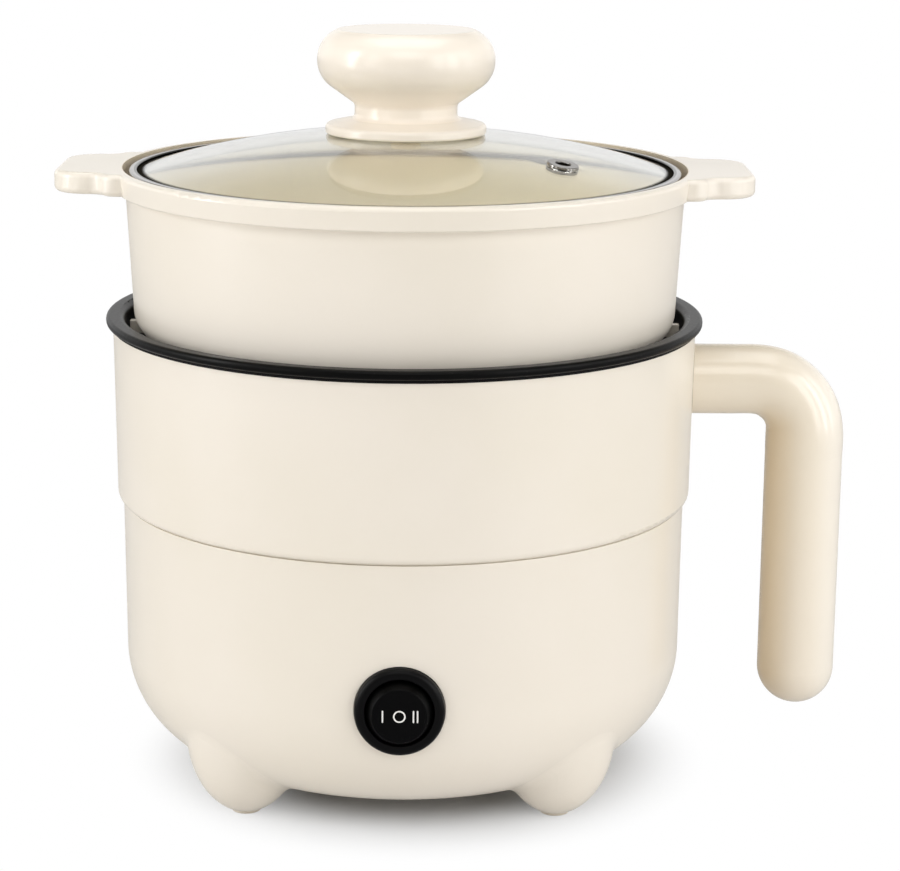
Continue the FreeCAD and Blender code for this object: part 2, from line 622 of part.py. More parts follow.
def lower_shell():
    body = new_body("lower_shell")
    ledgeTop = coverTop + ledgeThickness
    seam = seamHeight - seamGap
    lapRadius = upperLowRadius - upperLowWall - lapFit
    turned(
        body,
        "lower_outside",
        [
            (0, floorHeight),
            (lowerRadius, floorHeight, lowerRound),
            (lowerTopRadius, seam),
            (lapRadius, seam),
            (lapRadius, seamHeight + lapHeight),
            (0, seamHeight + lapHeight),
        ],
    )
    foot = form(body, "AdditiveEllipsoid", "foot", (footSpread, footSpread, footTall),
                Radius1=footTall, Radius2=footRadius, Radius3=footRadius)
    feet = repeated(body, "feet", [foot], 4)
    middle = FreeCAD.Vector(number(footSpread), number(footSpread), 0)
    reach = number(footRadius) + number(footBlend)
    lowest = number(floorHeight) - overcut

    def meets_body(edge):
        # The curve where a foot enters the rounded underside
        point = edge.valueAt((edge.FirstParameter + edge.LastParameter) / 2)
        away = FreeCAD.Vector(abs(point.x), abs(point.y), 0).distanceToPoint(middle)
        return away < reach and point.z > lowest and edge.Length > reach

    filleted(body, "foot_blend", feet, footBlend, meets_body)
    inner = lowerRadius - shellWall
    turned(
        body,
        "lower_inside",
        [
            (0, coverTop),
            (coverRadius - ledgeWidth, coverTop),
            (coverRadius - ledgeWidth, ledgeTop),
            (coverRadius + shellWall, ledgeTop),
            (coverRadius + shellWall * 2, floorHeight + shellWall),
            (inner, floorHeight + shellWall, lowerRound - shellWall),
            (lapRadius - lapWall, seamHeight),
            (lapRadius - lapWall, seamHeight + lapHeight + overcut),
            (0, seamHeight + lapHeight + overcut),
        ],
        cutting=True,
    )
    turned(
        body,
        "cover_opening",
        [
            (0, floorHeight - overcut),
            (coverRadius + coverFit, floorHeight - overcut),
            (coverRadius + coverFit, coverTop),
            (0, coverTop),
        ],
        cutting=True,
    )
    width = footRadius - shellWall
    tall = footTall - shellWall - padThickness
    hollow = form(body, "SubtractiveEllipsoid", "foot_hollow", (footSpread, footSpread, footTall),
                  Radius1=tall, Radius2=width, Radius3=width)
    repeated(body, "foot_hollows", [hollow], 4)
    pocket = form(body, "SubtractiveCylinder", "pad_pocket", (footSpread, footSpread, -footRadius),
                  Radius=padRadius + padFit, Height=footRadius + padThickness)
    flat = form(body, "SubtractiveCylinder", "pad_flat", (footSpread, footSpread, -footRadius),
                Radius=footRadius, Height=footRadius + padStand)
    repeated(body, "pad_pockets", [pocket, flat], 4)
    form(body, "SubtractiveCylinder", "switch_seat", (0, -switchSeat, switchHeight), (1, 0, 0), 90,
         Radius=bezelRadius + barrelFit, Height=bezelRadius)
    form(body, "SubtractiveCylinder", "switch_hole", (0, -(lowerRadius / 2), switchHeight), (1, 0, 0), 90,
         Radius=barrelRadius + barrelFit, Height=lowerRadius)
    seatWidth = inletFlangeWidth + inletFit * 2
    seatTall = inletFlangeHeight + inletFit * 2
    form(body, "SubtractiveBox", "inlet_seat", (-(seatWidth / 2), inletSeat, inletHeight - seatTall / 2),
         Length=seatWidth, Width=seatWidth, Height=seatTall)
    holeWidth = inletWidth + (inletWall + inletFit) * 2
    holeTall = inletTall + (inletWall + inletFit) * 2
    form(body, "SubtractiveBox", "inlet_hole",
         (-(holeWidth / 2), lowerRadius / 2, inletHeight - holeTall / 2),
         Length=holeWidth, Width=lowerRadius, Height=holeTall)


def foot_pads():
    for i, (x, y) in enumerate(((1, -1), (1, 1), (-1, 1), (-1, -1))):
        body = new_body(f"foot_pad_{i + 1}")
        turned(
            body,
            f"pad_{i + 1}",
            [
                (0, 0),
                (padRadius, 0, padStand / 2),
                (padRadius, padThickness),
                (0, padThickness),
            ],
        )
        place(body, (footSpread * x, footSpread * y, 0))


def upper_shell():
    body = new_body("upper_shell")
    turned(
        body,
        "upper_wall",
        [
            (upperLowRadius - upperLowWall, seamHeight),
            (upperLowRadius, seamHeight, upperEdgeRound),
            (upperTopRadius, upperTop),
            (upperTopRadius - upperTopWall, upperTop),
        ],
    )
    for i, side in enumerate((-1, 1)):
        form(body, "SubtractiveCylinder", f"bracket_hole_{i + 1}",
             (upperLowRadius / 2, bracketPitch / 2 * side, handleHeight), (0, 1, 0), 90,
             Radius=bracketScrew + screwFit * 2, Height=upperLowRadius)


def inner_pot():
    body = new_body("inner_pot")
    outer = potRadius + potWall
    turned(
        body,
        "pot_wall",
        [
            (0, potUnderside),
            (outer - potDraft, potUnderside, potRound + potWall),
            (outer, ledgeHeight - potWall, potWall / 2),
            (mouthRadius + neckWall, ledgeHeight - potWall, potWall),
            (mouthRadius + neckWall, rimUnderside),
            (rimRadius, rimUnderside, rimRound),
            (rimRadius, rimTop, rimRound),
            (mouthRadius, rimTop, mouthRound),
            (mouthRadius, ledgeHeight, potWall / 2),
            (potRadius, ledgeHeight, potWall),
            (potRadius - potDraft, potFloor, potRound),
            (0, potFloor),
        ],
    )


def rim_seal():
    body = new_body("rim_seal")
    turned(
        body,
        "seal_ring",
        [
            (mouthRadius + neckWall + lapFit, upperTop),
            (upperTopRadius + sealOverhang, upperTop),
            (upperTopRadius + sealOverhang, rimUnderside),
            (mouthRadius + neckWall + lapFit, rimUnderside),
        ],
    )


def heater_plate():
    body = new_body("heater_plate")
    turned(
        body,
        "plate_disc",
        [
            (0, plateUnderside),
            (plateRadius, plateUnderside, plateThickness / 4),
            (plateRadius, plateUnderside + plateThickness),
            (0, plateUnderside + plateThickness),
        ],
    )
    shoulder = form(body, "AdditiveCylinder", "leg", (tieCircle, 0, shieldTop),
                    Radius=legRadius, Height=plateUnderside + plateThickness / 2 - shieldTop)
    spigot = form(body, "AdditiveCylinder", "spigot", (tieCircle, 0, spigotEnd),
                  Radius=spigotRadius, Height=spigotLength + plateThickness / 2)
    thread = form(body, "SubtractiveCylinder", "thread", (tieCircle, 0, spigotEnd - overcut),
                  Radius=tieScrew + screwFit, Height=tieGrip + overcut * 2)
    repeated(body, "legs", [shoulder, spigot, thread], 3)
    form(body, "SubtractiveTorus", "tube_groove", (0, 0, plateUnderside + tubeSink - tubeRadius),
         Radius1=tubeCircle, Radius2=tubeRadius + tubeFit)
    form(body, "SubtractiveCylinder", "fuse_groove", (fuseOffset, -fuseLength, plateUnderside),
         (1, 0, 0), -90, Radius=fuseRadius + tubeFit, Height=fuseLength * 2)


def heating_tube():
    height = plateUnderside + tubeSink - tubeRadius
    gap = (360 - tubeSweep) / 2
    start = gap + 90
    ring = solid("Torus", "tube_ring", (0, 0, height), (0, 0, 1), start,
                 Radius1=tubeCircle, Radius2=tubeRadius, Angle3=tubeSweep)
    pieces = [ring]
    for i, side in enumerate((-1, 1)):
        x = tubeCircle * sine(gap) * side
        y = tubeCircle * cosine(gap)
        pieces.append(solid("Sphere", f"tube_end_{i + 1}", (x, y, height), Radius=tubeRadius))
        pieces.append(solid("Cylinder", f"tube_pin_{i + 1}", (x, y, shieldTop + tubePinGap),
                            Radius=tubePin, Height=height - shieldTop - tubePinGap))
    keep(fused("tube", pieces), "heating_tube")


def thermostat():
    body = new_body("thermostat")
    bottom = plateUnderside - thermostatHeight
    step = bottom + thermostatHeight / 2
    turned(
        body,
        "thermostat_case",
        [
            (0, bottom),
            (thermostatCap, bottom),
            (thermostatCap, step),
            (thermostatRadius, step),
            (thermostatRadius, plateUnderside),
            (0, plateUnderside),
        ],
    )
    for i, side in enumerate((-1, 1)):
        form(body, "AdditiveBox", f"thermostat_tab_{i + 1}",
             (-(tabWidth / 2), thermostatRadius / 2 * side - tabThickness / 2, bottom - tabLength),
             Length=tabWidth, Width=tabThickness, Height=tabLength + overcut)


def thermal_fuse():
    body = new_body("thermal_fuse")
    half = fuseLength / 2
    end = half + fuseWireLength
    turned(
        body,
        "fuse_case",
        [
            (0, -end),
            (fuseWire, -end),
            (fuseWire, -half),
            (fuseRadius, -half, fuseWire),
            (fuseRadius, half, fuseWire),
            (fuseWire, half),
            (fuseWire, end),
            (0, end),
        ],
    )
    place(body, (fuseOffset, 0, plateUnderside), (1, 0, 0), 90)


def heat_shield():
    body = new_body("heat_shield")
    rimHeight = shieldHeight + shieldRim
    opening = thermostatRadius + thermostatFit
    turned(
        body,
        "shield_dish",
        [
            (opening, shieldHeight),
            (shieldRadius, shieldHeight, shieldRound + shieldThickness),
            (shieldRadius + shieldFlare, rimHeight),
            (shieldRadius + shieldFlare - shieldThickness, rimHeight),
            (shieldRadius - shieldThickness, shieldTop, shieldRound),
            (opening, shieldTop),
        ],
    )
    hole = form(body, "SubtractiveCylinder", "shield_hole", (tieCircle, 0, shieldHeight - overcut),
                Radius=spigotRadius + bossFit, Height=shieldThickness + overcut * 2)
    repeated(body, "shield_holes", [hole], 3)


def base_cover():
    body = new_body("base_cover")
    turned(
        body,
        "cover_disc",
        [
            (0, floorHeight),
            (coverRadius, floorHeight, coverThickness / 4),
            (coverRadius, coverTop),
            (0, coverTop),
        ],
    )
    boss = form(body, "AdditiveCylinder", "cover_boss", (tieCircle, 0, floorHeight),
                Radius=bossRadius, Height=shieldHeight - floorHeight)
    bore = form(body, "SubtractiveCylinder", "cover_bore", (tieCircle, 0, spigotEnd - bossFit),
                Radius=spigotRadius + bossFit, Height=spigotLength + overcut)
    through = form(body, "SubtractiveCylinder", "cover_hole", (tieCircle, 0, floorHeight),
                   Radius=tieScrew + screwFit * 3, Height=spigotEnd)
    sink = form(body, "SubtractiveCylinder", "cover_sink", (tieCircle, 0, floorHeight - overcut),
                Radius=tieHead + headFit, Height=tieSink + overcut)
    repeated(body, "cover_bosses", [boss, bore, through, sink], 3)


def tie_screws():
    for i in range(3):
        turn = math.radians(120 * i)
        at = (tieCircle * math.cos(turn), tieCircle * math.sin(turn), tieSeat)
        screw(f"tie_screw_{i + 1}", at, (0, 0, 1), 0, tieScrew, spigotEnd + tieGrip - tieSeat,
              tieHead, tieHeadHeight)


def switch_body():
    body = new_body("switch_body")
    turned(
        body,
        "switch_barrel",
        [
            (0, -barrelDepth),
            (barrelRadius, -barrelDepth, barrelRound),
            (barrelRadius, 0),
            (bezelRadius, 0),
            (bezelRadius, bezelHeight, smaller(bezelRound, (bezelRadius - rockerBore) * bezelShare)),
            (rockerBore, bezelHeight, bezelLip),
            (rockerBore, barrelFloor - barrelDepth),
            (0, barrelFloor - barrelDepth),
        ],
    )
    reach = rockerBall + trunnionReach + screwFit * 2
    form(body, "SubtractiveCylinder", "pivot_bearing", (0, -reach, pivotRise), (1, 0, 0), -90,
         Radius=trunnionRadius + trunnionFit, Height=reach * 2)
    for i in range(3):
        form(body, "SubtractiveBox", f"tab_slot_{i + 1}",
             (tabPitch * (i - 1) - tabThickness / 2 - tabFit, -(tabWidth / 2) - tabFit,
              -barrelDepth - overcut),
             Length=tabThickness + tabFit * 2, Width=tabWidth + tabFit * 2, Height=tabRoot + overcut)
    place(body, (0, -switchSeat, switchHeight), (1, 0, 0), 90)


def switch_terminals():
    for i in range(3):
        body = new_body(f"switch_terminal_{i + 1}")
        form(body, "AdditiveBox", f"switch_tab_{i + 1}",
             (tabPitch * (i - 1) - tabThickness / 2, -(tabWidth / 2), -barrelDepth - tabLength),
             Length=tabThickness, Width=tabWidth, Height=tabLength + tabRoot)
        place(body, (0, -switchSeat, switchHeight), (1, 0, 0), 90)


def rocker():
    body = new_body("rocker")
    form(body, "AdditiveSphere", "rocker_ball", (0, 0, pivotRise), Radius=rockerBall,
         Angle1=-arcsine(rockerDrop / rockerBall), Angle2=arcsine(rockerRise / rockerBall))
    reach = rockerBall + trunnionReach
    pins = form(body, "AdditiveCylinder", "trunnions", (0, -reach, pivotRise), (1, 0, 0), -90,
                Radius=trunnionRadius, Height=reach * 2)
    face = number(pivotRise + rockerRise)

    def rims_face(edge):
        return edge.BoundBox.ZMin > face - near

    filleted(body, "rocker_edge", pins, rockerRound, rims_face)
    place(body, (0, -switchSeat, switchHeight), (1, 0, 0), 90)


def inlet_box(body, kind, name, width, tall, bottom, height):
    # A box about the inlet's axis
    return form(body, kind, name, (-(width / 2), -(tall / 2), bottom),
                Length=width, Width=tall, Height=height)


def power_inlet():
    body = new_body("power_inlet")
    outerWidth = inletWidth + inletWall * 2
    outerTall = inletTall + inletWall * 2
    inlet_box(body, "AdditiveBox", "inlet_case", outerWidth, outerTall, -inletDepth - inletBack,
              inletDepth + inletBack + inletFlange)
    flange = inlet_box(body, "AdditiveBox", "inlet_flange", inletFlangeWidth, inletFlangeHeight, 0,
                       inletFlange)
    half = number(inletFlangeWidth) / 2

    def stands_at_flange(edge):
        box = edge.BoundBox
        upright = box.ZLength > number(inletFlange) - near and max(box.XLength, box.YLength) < near
        return upright and abs(abs(box.XMin) - half) < near

    filleted(body, "inlet_corners", flange, inletRound, stands_at_flange)
    inlet_box(body, "SubtractiveBox", "inlet_socket", inletWidth, inletTall, -inletDepth,
              inletDepth + inletFlange + overcut)
    for i, (x, y) in enumerate(pin_places()):
        form(body, "SubtractiveBox", f"pin_slot_{i + 1}",
             (x - pinWidth / 2 - tabFit, y - pinTall / 2 - tabFit, -inletDepth - inletBack - overcut),
             Length=pinWidth + tabFit * 2, Width=pinTall + tabFit * 2, Height=inletBack + overcut * 2)
    place(body, (0, inletSeat, inletHeight), (1, 0, 0), -90)


def pin_places():
    # Live, neutral and earth, seen from behind with the earth pin below
    line = -(pinOffset / 2)
    return ((-(pinPitch / 2), line), (pinPitch / 2, line), (0, -line))


def inlet_pins():
    for name, (x, y) in zip(("live", "neutral", "earth"), pin_places()):
        body = new_body("inlet_pin_" + name)
        form(body, "AdditiveBox", "pin_" + name,
             (x - pinWidth / 2, y - pinTall / 2, -inletDepth - inletBack - tabLength),
             Length=pinWidth, Width=pinTall, Height=tabLength + inletBack + pinLength)
        place(body, (0, inletSeat, inletHeight), (1, 0, 0), -90)


def handle_form(name, inset, start):
    # The L-shaped tube from the start of its arm, drawn in by the inset for its hollow
    arm = armRadius - inset
    grip = gripRadius - inset
    bendX = handleReach - handleBend
    bendZ = handleHeight - handleBend
    end = handleEnd + gripRadius
    stations = [(armEnd, handleHeight, 0, 0)]
    for step in range(bendSteps + 1):
        share = step / bendSteps
        angle = math.radians(90 * share)
        x = bendX + handleBend * math.sin(angle)
        z = bendZ + handleBend * math.cos(angle)
        stations.append((x, z, 90 * share, share))
    stations.append((handleReach, bendZ - bendLead, 90, 1))
    rings = []
    for i, (x, z, turn, share) in enumerate(stations):
        ring = doc.addObject("Part::Circle", f"{name}_ring_{i + 1}")
        bind(ring, "Radius", arm + (grip - arm) * share)
        place(ring, (x, 0, z), (0, 1, 0), 90 + turn)
        rings.append(ring)
    bend = doc.addObject("Part::Loft", name + "_bend")
    bend.Sections = rings
    bend.Solid = True
    bend.Ruled = False
    level = solid("Cylinder", name + "_arm", (start, 0, handleHeight), (0, 1, 0), 90,
                  Radius=arm, Height=armEnd - start)
    upright = solid("Cylinder", name + "_grip", (handleReach, 0, end),
                    Radius=grip, Height=bendZ - bendLead - end)
    ball = solid("Sphere", name + "_end", (handleReach, 0, end), Radius=grip)
    return fused(name, [level, bend, upright, ball])


def handle_halves():
    outside = handle_form("handle_outside", 0, upperLowRadius / 2)
    inside = handle_form("handle_inside", handleWall, armEnd - handleHollow)
    slope = (upperTopRadius - upperLowRadius) / (upperTop - seamHeight)
    body_form = solid("Cone", "handle_seat", (0, 0, seamHeight),
                      Radius1=upperLowRadius + handleSeat,
                      Radius2=upperTopRadius + slope * upperTop + handleSeat,
                      Height=upperTop * 2 - seamHeight)
    posts = fused("handle_posts", [
        solid("Cylinder", f"post_{i + 1}", (x, -gripRadius, z), (1, 0, 0), -90,
              Radius=postRadius, Height=gripRadius * 2)
        for i, (x, z) in enumerate(post_places())
    ])
    void = cut("handle_void", inside, posts)
    shell = cut("handle_shell", cut("handle_arm", outside, body_form), void)
    holes = []
    for i, (x, z) in enumerate(post_places()):
        depth = handleScrewGrip + gripRadius
        holes.append(solid("Cylinder", f"post_hole_{i + 1}", (x, -handleScrewGrip, z), (1, 0, 0), -90,
                           Radius=handleScrew + screwFit, Height=depth))
        holes.append(solid("Cylinder", f"post_sink_{i + 1}", (x, gripRadius - handleScrewSink, z),
                           (1, 0, 0), -90, Radius=handleScrewHead + headFit, Height=gripRadius))
    for i, side in enumerate((-1, 1)):
        holes.append(solid("Cylinder", f"arm_hole_{i + 1}",
                           (upperLowRadius / 2, bracketPitch / 2 * side, handleHeight), (0, 1, 0), 90,
                           Radius=bracketScrew + screwFit,
                           Height=upperTopRadius / 2 + bracketGrip + overcut))
    bored = cut("handle_bored", shell, fused("handle_holes", holes))
    for name, y in (("handle_front_half", -(gripRadius * 2)), ("handle_rear_half", 0)):
        side = solid("Box", name + "_side", (0, y, 0), Length=handleReach + gripRadius * 2,
                     Width=gripRadius * 2, Height=rimTop * 2)
        keep(shared(name + "_form", bored, side), name)


def post_places():
    return ((handleReach, upperPost), (handleReach, lowerPost))


def handle_screws():
    for i, (x, z) in enumerate(post_places()):
        seat = gripRadius - handleScrewSink
        screw(f"handle_screw_{i + 1}", (x, seat, z), (1, 0, 0), 90, handleScrew,
              seat + handleScrewGrip - overcut, handleScrewHead, handleScrewHeadHeight)


def shell_inside_at(height):
    # Inner radius of the upper shell at a height
    low = upperLowRadius - upperLowWall
    high = upperTopRadius - upperTopWall
    return low + (high - low) * ((height - seamHeight) / (upperTop - seamHeight))


def bracket_face():
    return leg(shell_inside_at(handleHeight - bracketTall / 2), bracketWidth / 2)


def handle_bracket():
    body = new_body("handle_bracket")
    face = bracket_face()
    form(body, "AdditiveBox", "bracket_plate",
         (face - bracketThickness, -(bracketWidth / 2), handleHeight - bracketTall / 2),
         Length=bracketThickness, Width=bracketWidth, Height=bracketTall)
    for i, side in enumerate((-1, 1)):
        form(body, "SubtractiveCylinder", f"plate_hole_{i + 1}",
             (face - bracketThickness * 2, bracketPitch / 2 * side, handleHeight), (0, 1, 0), 90,
             Radius=bracketScrew + screwFit, Height=bracketThickness * 3)
    for i, side in enumerate((-1, 1)):
        screw(f"bracket_screw_{i + 1}", (face - bracketThickness, bracketPitch / 2 * side, handleHeight),
              (0, 1, 0), 90, bracketScrew, upperTopRadius - face + bracketThickness + bracketGrip,
              bracketHead, bracketHeadHeight)


def ear(index, side):
    # One grip of the steamer, with rounded edges, before it joins the rim
    body = doc.addObject("PartDesign::Body", f"ear_body_{index}")
    hollow = smaller(earSweep, earSide * earSweepShare)
    rounding = smaller(earRound, earSide * earRoundShare)
    corners = [
        (potRadius * side, -earRoot),
        (lipRadius * side, -earRoot, hollow),
        (earWaist * side, -earHalf, hollow),
        (earTip * side, -earHalf, rounding),
        (earTip * side, earHalf, rounding),
        (earWaist * side, earHalf, hollow),
        (lipRadius * side, earRoot, hollow),
        (potRadius * side, earRoot),
    ]
    underside = lipTop - earThickness
    profile = outline(body, f"ear_outline_{index}", "XY_Plane", corners[::side], underside)
    grip = padded(body, f"ear_{index}", profile, earThickness)
    inner = number(potRadius) + near

    def rims_ear(edge):
        box = edge.BoundBox
        return box.ZLength < near and max(abs(box.XMin), abs(box.XMax)) > inner

    filleted(body, f"ear_edges_{index}", grip, earThickness / 4, rims_ear)
    return body


def steamer():
    body = new_body("steamer")
    turned(
        body,
        "steamer_outside",
        [
            (0, steamerBottom),
            (steamerLowRadius, steamerBottom, steamerRound),
            (steamerTopRadius, lipBottom, lipHollow),
            (lipLowRadius, lipBottom, lipUnderRound),
            (lipRadius, lipTop, lipRound),
            (0, lipTop),
        ],
    )
    join = body.newObject("PartDesign::Boolean", "ears_joined")
    join.Type = "Fuse"
    join.setObjects([ear(i + 1, side) for i, side in enumerate((-1, 1))])
    lug = form(body, "AdditiveBox", "lug", (lugStart, -(lugWidth / 2), ledgeHeight + lugGap),
               Length=lugRadius - lugStart, Width=lugWidth, Height=lugTop - ledgeHeight - lugGap)
    repeated(body, "lugs", [lug], 4)
    turned(
        body,
        "steamer_inside",
        [
            (0, steamerBottom + steamerWall),
            (steamerLowRadius - steamerWall, steamerBottom + steamerWall, steamerRound - steamerWall),
            (steamerTopRadius - steamerWall, recessFloor, lipHollow),
            (recessRadius, recessFloor),
            (recessRadius, lipTop + overcut),
            (0, lipTop + overcut),
        ],
        cutting=True,
    )
    low = steamerBottom - overcut
    depth = steamerWall + overcut * 2
    form(body, "SubtractiveCylinder", "hole_middle", (0, 0, low), Radius=steamHole, Height=depth)
    for ring in range(1, holeCircles + 1):
        hole = form(body, "SubtractiveCylinder", f"hole_{ring}", (holePitch * ring, 0, low),
                    Radius=steamHole, Height=depth)
        repeated(body, f"hole_circle_{ring}", [hole], holesPerCircle * ring)


def glass_form(name, inset):
    # The dome's ball, drawn in by the inset
    return solid("Sphere", name, (0, 0, domeCentre), Radius=domeRadius - inset)


def vent_direction():
    turn = cosine(ventTurn)
    return (sine(ventTilt) * turn, sine(ventTilt) * sine(ventTurn), cosine(ventTilt))


def place_vent(thing):
    # On the dome's outer face, square to it
    x, y, z = vent_direction()
    turn = math.radians(number(ventTurn))
    at = (domeRadius * x, domeRadius * y, domeCentre + domeRadius * z)
    place(thing, at, (-math.sin(turn), math.cos(turn), 0), ventTilt)


def lid_glass():
    disc = solid("Cylinder", "glass_disc", (0, 0, recessFloor - glassThickness),
                 Radius=glassRadius, Height=domeTop - recessFloor + glassThickness * 2)
    dome = shared("glass_dome", disc, glass_form("glass_outside", 0))
    bowl = cut("glass_bowl", dome, glass_form("glass_inside", glassThickness))
    hole = solid("Cylinder", "glass_hole", (0, 0, recessFloor), Radius=knobHole,
                 Height=domeTop - recessFloor + overcut)
    vent = solid("Cylinder", "vent_hole", Radius=ventTube + ventFit, Height=glassThickness * 4)
    place_vent(vent)
    x, y, z = vent_direction()
    inner = domeRadius - glassThickness * 2
    for letter, size in zip("xyz", (inner * x, inner * y, domeCentre + inner * z)):
        vent.setExpression(f"Placement.Base.{letter}", size.text)
    keep(cut("glass", bowl, fused("glass_holes", [hole, vent])), "lid_glass")


def lid_rim():
    body = doc.addObject("PartDesign::Body", "lid_rim_blank")
    inner = glassRadius - lidRimLap
    turned(
        body,
        "rim_section",
        [
            (inner, recessFloor + lidGap),
            (lidRimRadius, recessFloor + lidGap, lidRimRound),
            (lidRimRadius, lidRimTop, lidRimTopRound),
            (inner, lidRimTop, lidRimRound / 2),
        ],
    )
    disc = solid("Cylinder", "rim_disc", (0, 0, recessFloor - glassThickness),
                 Radius=glassRadius, Height=domeTop - recessFloor + glassThickness * 2)
    dome = shared("rim_dome", disc, glass_form("rim_outside", 0))
    bowl = cut("rim_bowl", dome, glass_form("rim_inside", glassThickness))
    keep(cut("rim", body, bowl), "lid_rim")


def knob():
    body = new_body("knob")
    gasketTop = domeTop + gasketThickness
    gasketEdge = knobFlangeRadius - knobLip
    stemEnd = domeTop - glassThickness + washerGap
    flangeTop = knobBase + knobFlangeEdge
    turned(
        body,
        "knob_form",
        [
            (0, stemEnd),
            (knobStem, stemEnd),
            (knobStem, gasketTop),
            (gasketEdge, gasketTop),
            (gasketEdge, knobBase),
            (knobFlangeRadius, knobBase, knobFlangeUnder),
            (knobFlangeRadius, flangeTop, knobFlangeRound),
            (knobNeck, flangeTop + knobFlangeRise, knobNeckRound),
            (knobNeck, knobNeckTop, knobNeckRound),
            (knobRadius, knobShoulder, smaller(knobUnderRound, knobCrown * knobShare)),
            (knobRadius, knobTop - knobBevel, smaller(knobRound, knobCrown * knobShare)),
            (knobFlat, knobTop, knobCrease),
            (0, knobTop),
        ],
    )
    form(body, "SubtractiveCylinder", "knob_thread", (0, 0, stemEnd - overcut),
         Radius=knobScrew + screwFit, Height=knobScrewGrip + overcut * 2)


def knob_gasket():
    ring = solid("Cylinder", "gasket_disc", (0, 0, knobBase), Radius=knobFlangeRadius - knobLip - lapFit,
                 Height=domeTop + gasketThickness - knobBase)
    hole = solid("Cylinder", "gasket_hole", (0, 0, knobBase - overcut), Radius=knobStem + lapFit,
                 Height=domeTop + gasketThickness - knobBase + overcut * 2)
    keep(cut("gasket", ring, fused("gasket_cuts", [hole, glass_form("gasket_dome", 0)])),
         "knob_gasket")


def knob_washer():
    body = new_body("knob_washer")
    top = domeTop - glassThickness - washerGap
    turned(
        body,
        "washer_ring",
        [
            (knobScrew + screwFit * 2, top - washerThickness),
            (washerRadius, top - washerThickness, washerThickness / 3),
            (washerRadius, top),
            (knobScrew + screwFit * 2, top),
        ],
    )
    screw("knob_screw", (0, 0, top - washerThickness), (0, 0, 1), 0, knobScrew, knobScrewGrip,
          knobScrewHead, knobScrewHeadHeight)


def vent_eyelet():
    body = new_body("vent_eyelet")
    under = -glassThickness - ventFit / 2
    turned(
        body,
        "eyelet_form",
        [
            (ventBore, under - ventSheet),
            (ventFlange, under - ventSheet, ventRound),
            (ventFlange, under),
            (ventTube, under),
            (ventTube, 0),
            (ventFlange, 0),
            (ventFlange, ventSheet, ventRound),
            (ventBore, ventSheet, ventRound),
        ],
    )
    place_vent(body)


BUILDERS = (
    lower_shell,
    foot_pads,
    upper_shell,
    inner_pot,
    rim_seal,
    heater_plate,
    heating_tube,
    thermostat,
    thermal_fuse,
    heat_shield,
    base_cover,
    tie_screws,
    switch_body,
    switch_terminals,
    rocker,
    power_inlet,
    inlet_pins,
    handle_halves,
    handle_screws,
    handle_bracket,
    steamer,
    lid_glass,
    lid_rim,
    knob,
    knob_gasket,
    knob_washer,
    vent_eyelet,
)
for builder in BUILDERS:
    builder()
    print("built", builder.__name__, flush=True)
doc.recompute()


def faults():
    found = []
    for thing in doc.Objects:
        if "Invalid" in thing.State or "Error" in thing.State:
            found.append(f"{thing.Name} is in error")
    for name, thing in nodes.items():
        if thing.Shape.isNull() or not thing.Shape.isValid():
            found.append(f"{name} has no valid shape")
        elif len(thing.Shape.Solids) != 1:
            found.append(f"{name} has {len(thing.Shape.Solids)} solids")
    return found


problems = faults()
if problems:
    raise SystemExit("\n".join(problems))
os.makedirs(folder, exist_ok=True)
for name, thing in nodes.items():
    thing.Shape.exportStep(os.path.join(folder, name + ".step"))
    box = thing.Shape.BoundBox
    print(name, [round(value, 2) for value in (box.XMin, box.YMin, box.ZMin, box.XMax, box.YMax, box.ZMax)],
          round(thing.Shape.Volume))
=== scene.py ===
import functools
import math
import bpy
import numpy as np
from mathutils import Matrix, Vector


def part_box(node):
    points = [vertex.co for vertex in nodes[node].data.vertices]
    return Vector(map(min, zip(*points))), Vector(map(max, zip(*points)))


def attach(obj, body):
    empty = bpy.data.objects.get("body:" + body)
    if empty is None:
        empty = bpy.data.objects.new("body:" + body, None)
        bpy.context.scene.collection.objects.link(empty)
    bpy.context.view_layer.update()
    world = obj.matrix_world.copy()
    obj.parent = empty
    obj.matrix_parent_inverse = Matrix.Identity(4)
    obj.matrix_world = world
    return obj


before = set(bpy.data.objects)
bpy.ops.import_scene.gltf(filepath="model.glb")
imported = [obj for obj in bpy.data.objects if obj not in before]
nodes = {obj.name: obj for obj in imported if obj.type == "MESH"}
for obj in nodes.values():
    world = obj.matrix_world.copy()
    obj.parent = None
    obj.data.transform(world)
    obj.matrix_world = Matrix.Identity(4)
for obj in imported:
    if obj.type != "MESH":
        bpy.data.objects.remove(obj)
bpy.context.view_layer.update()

mixSockets = {"RGBA": (6, 7, 2), "VECTOR": (4, 5, 1)}  # of a Mix node: its two inputs and its output


class Signal:
    # A value on its way through a material: sums and products of signals add the Math nodes for them
    def __init__(self, finish, socket):
        self.finish = finish
        self.socket = socket

    def maths(self, operation, first, second):
        return self.finish.node("ShaderNodeMath", {"operation": operation}, {0: first, 1: second})

    def __add__(self, other):
        return self.maths("ADD", self, other)

    def __radd__(self, other):
        return self.maths("ADD", other, self)

    def __sub__(self, other):
        return self.maths("SUBTRACT", self, other)

    def __rsub__(self, other):
        return self.maths("SUBTRACT", other, self)

    def __mul__(self, other):
        return self.maths("MULTIPLY", self, other)

    def __rmul__(self, other):
        return self.maths("MULTIPLY", other, self)

    def larger(self, other):
        return self.maths("MAXIMUM", self, other)


